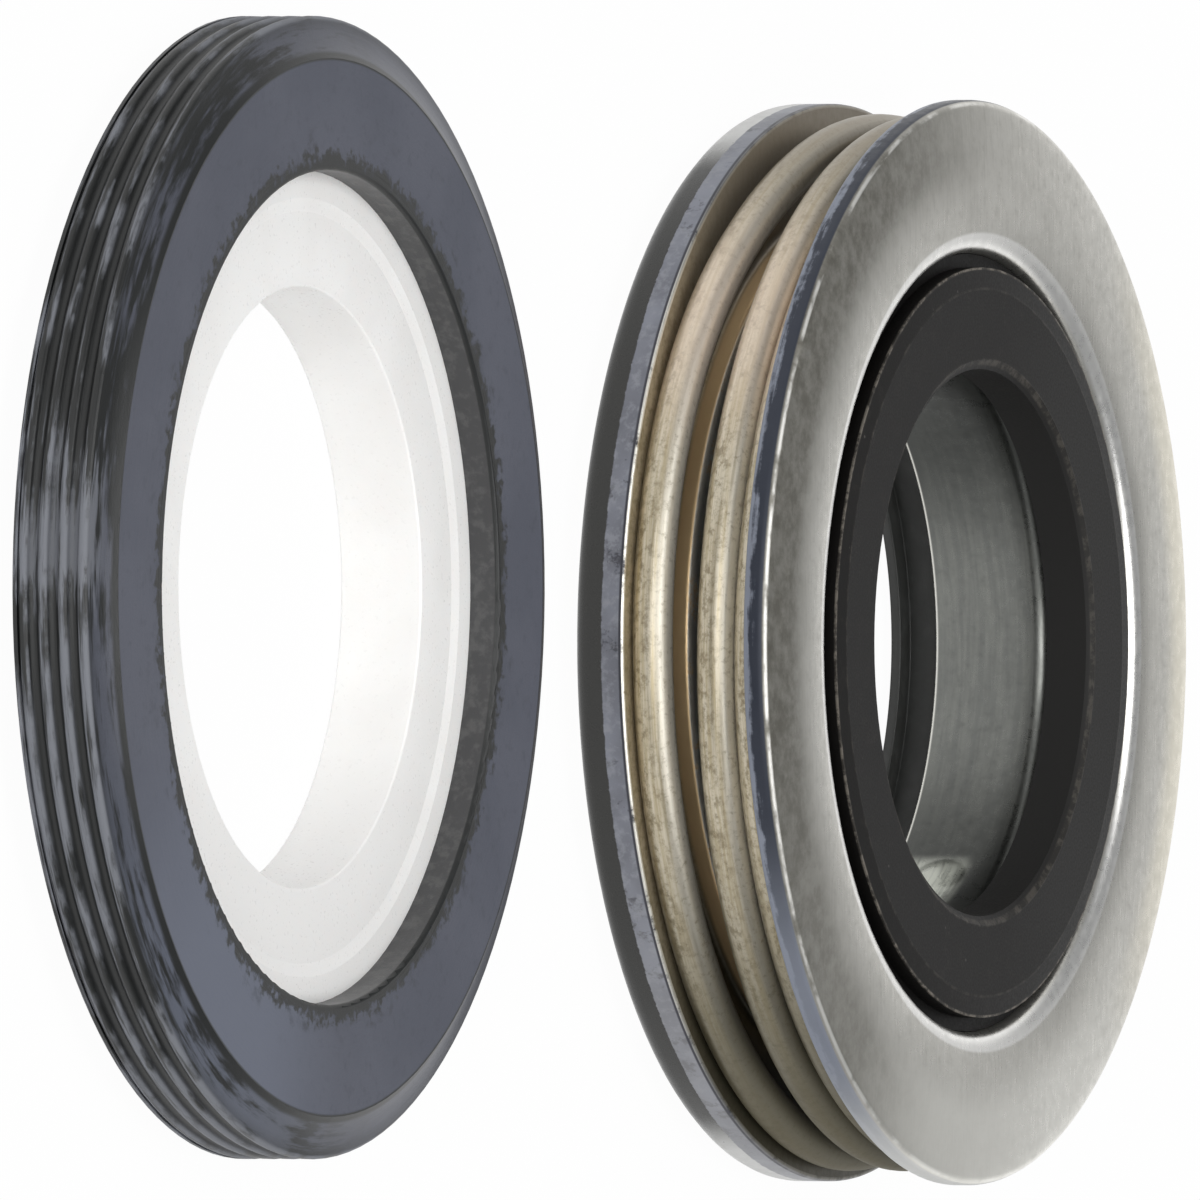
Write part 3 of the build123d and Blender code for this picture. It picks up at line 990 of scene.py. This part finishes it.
def makeSpring(shape, material):
    bm = bmesh.new()
    alongWire = bm.verts.layers.float.new("alongWire")
    aroundX = bm.verts.layers.float.new("aroundX")
    aroundY = bm.verts.layers.float.new("aroundY")
    firstAngle, lastAngle = shape["heights"][0][0], shape["heights"][-1][0]
    last = pathFrame(shape, firstAngle)
    ring = bmesh.ops.create_circle(bm, cap_ends=True, segments=shape["sides"],
                                   radius=shape["wireRadius"] * mm)["verts"]
    for vert in ring:
        vert[aroundX] = vert.co.x / (shape["wireRadius"] * mm)
        vert[aroundY] = vert.co.y / (shape["wireRadius"] * mm)
    bmesh.ops.transform(bm, matrix=last, verts=ring)
    edges = bm.edges[:]
    for angle in range(firstAngle + shape["step"], lastAngle + 1, shape["step"]):
        place = pathFrame(shape, angle)
        grown = bmesh.ops.extrude_edge_only(bm, edges=edges)["geom"]
        verts = [item for item in grown if isinstance(item, bmesh.types.BMVert)]
        members = set(verts)
        edges = [item for item in grown if isinstance(item, bmesh.types.BMEdge)
                 and members.issuperset(item.verts)]
        bmesh.ops.transform(bm, matrix=place @ last.inverted(), verts=verts)
        for vert in verts:
            vert[alongWire] = radians(angle - firstAngle) * shape["coilRadius"]
        last = place
    bmesh.ops.contextual_create(bm, geom=edges)
    ends = [edge for edge in bm.edges if any(len(face.verts) > 4 for face in edge.link_faces)]
    bmesh.ops.bevel(bm, geom=ends, offset=shape["endRound"] * mm, segments=shape["endSegments"],
                    profile=0.5, affect="EDGES", material=-1)
    # the ends are ground flat, level with the plates that they press on
    low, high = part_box("spring")
    for vert in bm.verts:
        vert.co.z = min(max(vert.co.z, low.z), high.z)
    bmesh.ops.recalc_face_normals(bm, faces=bm.faces)
    return newPiece("coil_spring", bm, material)


wireLook = {
    "straw": (0.43, 0.365, 0.24),
    "pale": (0.62, 0.565, 0.45),
    "brown": (0.19, 0.15, 0.085),
    # painted reflection of the grey overhead, on the side towards the shell
    "greyReflection": (0.70, 0.67, 0.59),
    # painted light, in a band towards -X
    "rosyLight": (0.80, 0.66, 0.54),
    "paintedShadeLow": (0.09, 0.08, 0.048),  # painted shade towards the +X side
    "paintedShadeHigh": (0.24, 0.21, 0.165),  # painted shade towards the -X side
    # patterns; the first two run along the wire
    "drawn": {"scales": (0.35, 5.0, 5.0), "detail": 6, "rough": 0.65},
    "spots": {"scales": (3.0, 2.5, 2.5), "detail": 5, "rough": 0.7},
    "fine": {"scale": 5.0, "detail": 5, "rough": 0.7},
    "drawnMarks": (0.35, 0.65),
    "spotted": (0.46, 0.66, 0, 0.75),
    # aroundY is 1 on the side towards the rear plate and -1 towards the shell, where a painted grey
    # reflection lies
    "greySide": (-0.35, -0.75, 0, 0.8),
    "mottledSide": (-0.7, 0.15, 0.12, 1),
    # the rest follows the place on the head: painted light in the rosy band, painted shade on the low and
    # high sides
    "fineMarks": (0.5, 0.72, 0, 0.55),
    "rosyBand": (-0.80, -0.45, 0.15),
    "rosyShare": 0.5,
    "lowSide": (0.25, 0.85, 0, 0.9),
    "highSide": (-0.65, -1.0, 0, 0.8),
    # finish, which turns matt towards the +X side
    "mattSide": (0.72, 0.95),
    "metal": 0.6,
    "mattMetal": 0.45,
    "roughness": (0.3, 0.7, 0.30, 0.42),
    "mattRoughness": 0.25,
    "gloss": (0, 1, 0.5, 0.15),
    "drawnRelief": (0.008, 0.8),
    "spotRelief": (0.005, 0.6),
}


def wireAttribute(tree, name):
    node = tree.nodes.new("ShaderNodeAttribute")
    node.attribute_name = name
    return node.outputs["Fac"]


def wireMaterial(look):
    material, tree, shader = newMaterial("spring_steel")
    onWire = [wireAttribute(tree, name) for name in ("alongWire", "aroundX", "aroundY")]
    aroundY = onWire[2]
    drawn = stretchedNoise(tree, onWire, **look["drawn"])
    spots = stretchedNoise(tree, onWire, **look["spots"])
    place = turnedPlace(tree, headCentre)
    fine = noise(tree, place["at"], **look["fine"])
    tint = paint(tree, look["straw"], look["pale"], spread(tree, drawn, *look["drawnMarks"]))
    # painted grey reflection on the side towards the shell
    tint = paint(tree, tint, look["greyReflection"], spread(tree, aroundY, *look["greySide"]))
    # mottled towards the rear plate, drawn smooth towards the shell
    tint = paint(tree, tint, look["brown"], spread(tree, spots, *look["spotted"]),
                 spread(tree, aroundY, *look["mottledSide"]))
    tint = paint(tree, tint, look["brown"], spread(tree, fine, *look["fineMarks"]))
    # painted light: a paler rosy band towards -X
    rosyLight = paint(tree, tint, look["rosyLight"], look["rosyShare"])
    tint = paint(tree, tint, rosyLight, between(tree, place["dirX"], *look["rosyBand"]))
    # painted shade towards +X and -X
    tint = paint(tree, tint, look["paintedShadeLow"], spread(tree, place["dirX"], *look["lowSide"]))
    tint = paint(tree, tint, look["paintedShadeHigh"], spread(tree, place["dirX"], *look["highSide"]))
    plug(tree, tint, shader.inputs["Base Color"])
    matt = spread(tree, place["dirX"], *look["mattSide"])
    metal = calc(tree, "SUBTRACT", look["metal"], calc(tree, "MULTIPLY", matt, look["mattMetal"]))
    plug(tree, metal, shader.inputs["Metallic"])
    rough = calc(tree, "ADD", spread(tree, drawn, *look["roughness"]),
                 calc(tree, "MULTIPLY", matt, look["mattRoughness"]))
    plug(tree, rough, shader.inputs["Roughness"])
    plug(tree, spread(tree, matt, *look["gloss"]), shader.inputs["Specular IOR Level"])
    relief = bump(tree, drawn, *look["drawnRelief"])
    plug(tree, bump(tree, spots, *look["spotRelief"], relief), shader.inputs["Normal"])
    return material


spring = makeSpring(springShape, wireMaterial(wireLook))
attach(spring, "base")
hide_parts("spring")
print("spring done:", len(spring.data.polygons), "faces")


# boot: one rubber moulding, from the gripping lip up to the shell
bootShape = {
    "steps": 192,
    "section": [
        (9.30, 0.00, 0.12),
        (11.90, 0.00, 0.36),  # tail
        (11.90, 2.93, 0.00),
        (12.75, 3.05, 0.35),  # outside of the fold
        (12.75, 4.11, 0.35),
        (12.39, 4.81, 0.00),  # flange under the pocket's floor
        (9.06, 4.81, 0.47),
        (9.06, 4.11, 0.12),
        (12.05, 4.11, 0.17),  # inside of the fold
        (12.05, 3.30, 0.17),
        (9.22, 2.60, 0.12),  # relief bore
        (9.22, 0.62, 0.05),
        (8.50, 0.62, 0.05),  # lip that grips the hub
        (8.50, 0.32, 0.00),
    ],
}
bootLook = {
    "rubber": (0.026, 0.027, 0.025),
    "dusty": (0.05, 0.052, 0.05),
    "dust": {"scale": 1.4, "detail": 5, "rough": 0.65},
    "grain": {"scale": 20.0, "detail": 2},
    "dusted": (0.45, 0.75, 0, 0.6),
    "roughness": (0.3, 0.7, 0.42, 0.6),
    "relief": (0.005, 0.6),
}


def bootMaterial(look):
    material, tree, shader = newMaterial("boot_rubber")
    place = turnedPlace(tree, headCentre)
    dust = noise(tree, place["at"], **look["dust"])
    grain = noise(tree, place["at"], **look["grain"])
    tint = paint(tree, look["rubber"], look["dusty"], spread(tree, dust, *look["dusted"]))
    plug(tree, tint, shader.inputs["Base Color"])
    plug(tree, spread(tree, dust, *look["roughness"]), shader.inputs["Roughness"])
    plug(tree, bump(tree, grain, *look["relief"]), shader.inputs["Normal"])
    return material


boot = makeTurned("rubber_boot", bootShape, headCentre, bootMaterial(bootLook))
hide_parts("boot")
print("boot done:", len(boot.data.polygons), "faces")


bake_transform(boot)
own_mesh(spring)
print("moving pieces tied")


# floor: pale, white to the camera, and it keeps a little of the shadow
floorLook = {
    "size": 1.5,
    "drop": 0.005 * mm,
    "colour": (0.85, 0.85, 0.85),
    "roughness": 0.9,
    "gloss": 0.0,
    "glow": 0.97,  # share of the plain white that the camera and the metal see
}


def makeFloor(look):
    bm = bmesh.new()
    bmesh.ops.create_grid(bm, x_segments=1, y_segments=1, size=look["size"])
    bmesh.ops.translate(bm, vec=(0, 0, -look["drop"]), verts=bm.verts)
    material, tree, shader = newMaterial("floor")
    plug(tree, look["colour"], shader.inputs["Base Color"])
    shader.inputs["Roughness"].default_value = look["roughness"]
    shader.inputs["Specular IOR Level"].default_value = look["gloss"]
    rays = tree.nodes.new("ShaderNodeLightPath")
    seen = calc(tree, "MAXIMUM", rays.outputs["Is Camera Ray"], rays.outputs["Is Glossy Ray"])
    seen = calc(tree, "MAXIMUM", seen, rays.outputs["Is Transmission Ray"])
    glow = tree.nodes.new("ShaderNodeEmission")
    mix = tree.nodes.new("ShaderNodeMixShader")
    plug(tree, calc(tree, "MULTIPLY", seen, look["glow"]), mix.inputs["Fac"])
    tree.links.new(shader.outputs[0], mix.inputs[1])
    tree.links.new(glow.outputs[0], mix.inputs[2])
    tree.links.new(mix.outputs[0], tree.nodes["Material Output"].inputs["Surface"])
    floor = newPiece("floor", bm, material)


makeFloor(floorLook)


# studio: a white room seen by the camera; pale at the horizon and greyer overhead for the metal
roomLook = {
    "horizon": (1.0, 1.0, 1.0),
    "overhead": (0.20, 0.205, 0.21),
    "greys": (0.22, 0.54),  # height of the direction; 1 is straight up
    "seen": (1, 1, 1),
}


def makeRoom(look):
    world = bpy.data.worlds.new("room")
    bpy.context.scene.world = world
    world.use_nodes = True
    tree = world.node_tree
    background = tree.nodes["Background"]
    coordinates = tree.nodes.new("ShaderNodeTexCoord")
    split = tree.nodes.new("ShaderNodeSeparateXYZ")
    tree.links.new(coordinates.outputs["Generated"], split.inputs[0])
    tint = paint(tree, look["horizon"], look["overhead"], spread(tree, split.outputs[2], *look["greys"]))
    rays = tree.nodes.new("ShaderNodeLightPath")
    tint = paint(tree, tint, look["seen"], rays.outputs["Is Camera Ray"])
    plug(tree, tint, background.inputs["Color"])


makeRoom(roomLook)


# lamps: a broad one overhead and a smaller one beside the camera
lampSettings = {
    "overhead": {"watts": 13.0, "size": 1.2, "distance": 1.4, "azimuth": -5, "elevation": 74},
    "front": {"watts": 5.0, "size": 0.7, "distance": 1.4, "azimuth": -5, "elevation": 26},
}


def addLamp(name, settings):
    data = bpy.data.lights.new(name, "AREA")
    data.energy = settings["watts"]
    data.shape = "SQUARE"
    data.size = settings["size"]
    lamp = bpy.data.objects.new(name, data)
    bpy.context.scene.collection.objects.link(lamp)
    turn, rise = radians(settings["azimuth"]), radians(settings["elevation"])
    away = Vector((sin(turn) * cos(rise), -cos(turn) * cos(rise), sin(rise)))
    lamp.location = away * settings["distance"]
    lamp.rotation_mode = "QUATERNION"
    lamp.rotation_quaternion = away.to_track_quat("Z", "Y")


for lampName, lampValues in lampSettings.items():
    addLamp(lampName, lampValues)

bpy.context.scene.view_settings.view_transform = "Standard"
print("stage and lamps done")
